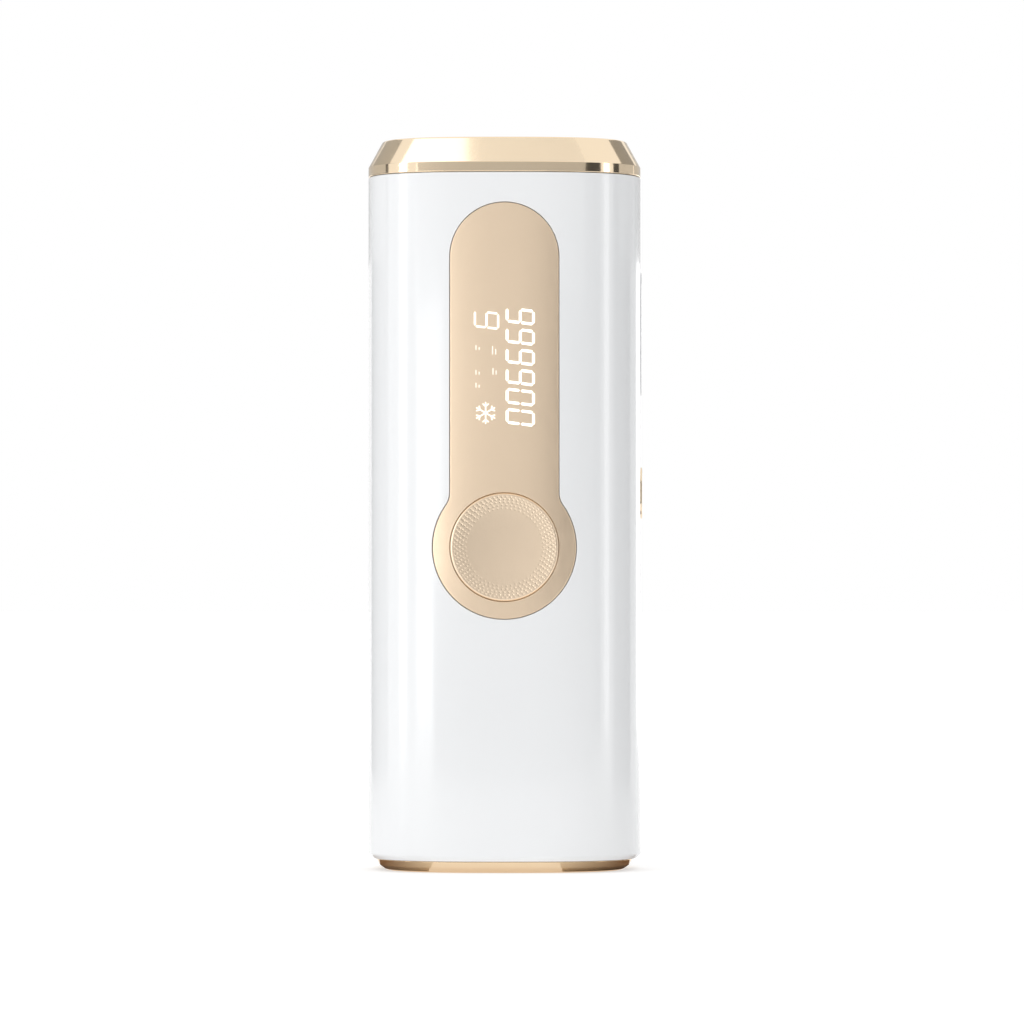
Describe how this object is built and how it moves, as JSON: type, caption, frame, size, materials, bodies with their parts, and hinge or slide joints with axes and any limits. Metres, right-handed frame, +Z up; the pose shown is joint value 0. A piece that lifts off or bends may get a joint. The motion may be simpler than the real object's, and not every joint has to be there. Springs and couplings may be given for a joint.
{
  "type": "ipl hair remover",
  "caption": "Upright pulsed-light hair remover with a gold head bezel, cooled window, keyhole display panel, dished power button and side keys.",
  "frame": {"origin": "middle of the foot ring's underside, where the handset stands", "axes": "+Z up the handset towards its window, -Y out of the display side, +X towards the flash trigger"},
  "size_m": [0.0624, 0.04, 0.1655],
  "materials": {
    "shell_white": "high-gloss white moulding",
    "bezel_gold": "polished champagne gold plating",
    "base_gold": "polished champagne gold plating",
    "trim_gold": "polished champagne gold plating",
    "panel_gold": "satin champagne gold",
    "button_gold": "spun satin champagne gold with fine dimples",
    "cover_white": "fine matte texture",
    "key_white": "gloss white",
    "screw_steel": "zinc-plated",
    "cap_steel": "nickel-plated",
    "diffuser_white": "white light guide",
    "dark_plastic": "dark grey moulding",
    "fan_black": "black moulding",
    "jack_black": "black moulding",
    "circuit_board": "green solder mask",
    "head_black": "gloss black",
    "contact_chrome": "polished contact strip",
    "sapphire_clear": "polished clear block",
    "filter_amber": "amber filter",
    "lamp_quartz": "clear tube",
    "copper": "milled copper",
    "bush_brass": "sintered bronze",
    "lamp_ceramic": "unglazed white",
    "cooler_ceramic": "ground white",
    "reflector_mirror": "polished aluminium",
    "silicone": "translucent grey silicone",
    "sink_aluminium": "extruded",
    "capacitor_sleeve": "dark blue sleeve",
    "ferrite": "ferrite core",
    "coil_black": "potted coil",
    "wire_red": "red insulation",
    "wire_black": "black insulation"
  },
  "bodies": {
    "housing": {"front_shell": "shell_white", "rear_shell": "shell_white", "head_bezel": "bezel_gold", "base_ring": "base_gold", "base_cover": "cover_white", "base_screw_1": "screw_steel", "base_screw_2": "screw_steel", "display_panel": "panel_gold", "display_diffuser": "diffuser_white", "power_switch": "dark_plastic", "display_board": "circuit_board", "display_screw_1": "screw_steel", "display_screw_2": "screw_steel", "trigger_switch": "dark_plastic", "mode_switch": "dark_plastic", "mode_button_trim": "trim_gold", "side_board": "circuit_board", "head_plate": "head_black", "contact_ring": "contact_chrome", "sapphire_window": "sapphire_clear", "cold_plate": "copper", "filter_glass": "filter_amber", "lamp_house": "lamp_ceramic", "lamp_reflector": "reflector_mirror", "flash_lamp": "lamp_quartz", "lamp_cap_left": "cap_steel", "lamp_cap_right": "cap_steel", "lamp_holder_left": "silicone", "lamp_holder_right": "silicone", "head_screw_1": "screw_steel", "head_screw_2": "screw_steel", "peltier_module": "cooler_ceramic", "heat_sink": "sink_aluminium", "fan_frame": "dark_plastic", "fan_bush": "bush_brass", "main_board": "circuit_board", "board_screw_1": "screw_steel", "board_screw_2": "screw_steel", "board_screw_3": "screw_steel", "board_screw_4": "screw_steel", "storage_capacitor_left": "capacitor_sleeve", "storage_capacitor_right": "capacitor_sleeve", "boost_transformer": "ferrite", "trigger_coil": "coil_black", "dc_jack": "jack_black", "dc_jack_pin": "cap_steel", "lamp_lead_left": "wire_black", "lamp_lead_right": "wire_red", "power_lead_left": "wire_black", "power_lead_right": "wire_red"},
    "power_key": {"power_button": "button_gold", "power_switch_plunger": "dark_plastic"},
    "trigger_key": {"trigger_button": "key_white", "trigger_switch_plunger": "dark_plastic"},
    "mode_key": {"mode_button": "key_white", "mode_switch_plunger": "dark_plastic"},
    "fan": {"fan_rotor": "fan_black", "fan_shaft": "cap_steel"}
  },
  "joints": [
    {"name": "power_button_press", "type": "slide", "parent": "housing", "child": "power_key", "axis": [0, 1, 0], "range_m": [0, 0.0006], "stiffness_N_per_m": 2500, "springref_m": -0.0002},
    {"name": "trigger_press", "type": "slide", "parent": "housing", "child": "trigger_key", "axis": [-1, 0, 0], "range_m": [0, 0.0006], "stiffness_N_per_m": 2500, "springref_m": -0.0002},
    {"name": "mode_button_press", "type": "slide", "parent": "housing", "child": "mode_key", "axis": [-1, 0, 0], "range_m": [0, 0.0006], "stiffness_N_per_m": 2500, "springref_m": -0.0002},
    {"name": "fan_spin", "type": "hinge", "parent": "housing", "child": "fan", "pos_m": [0, 0.0123, 0.117], "axis": [0, 1, 0], "continuous": true}
  ]
}
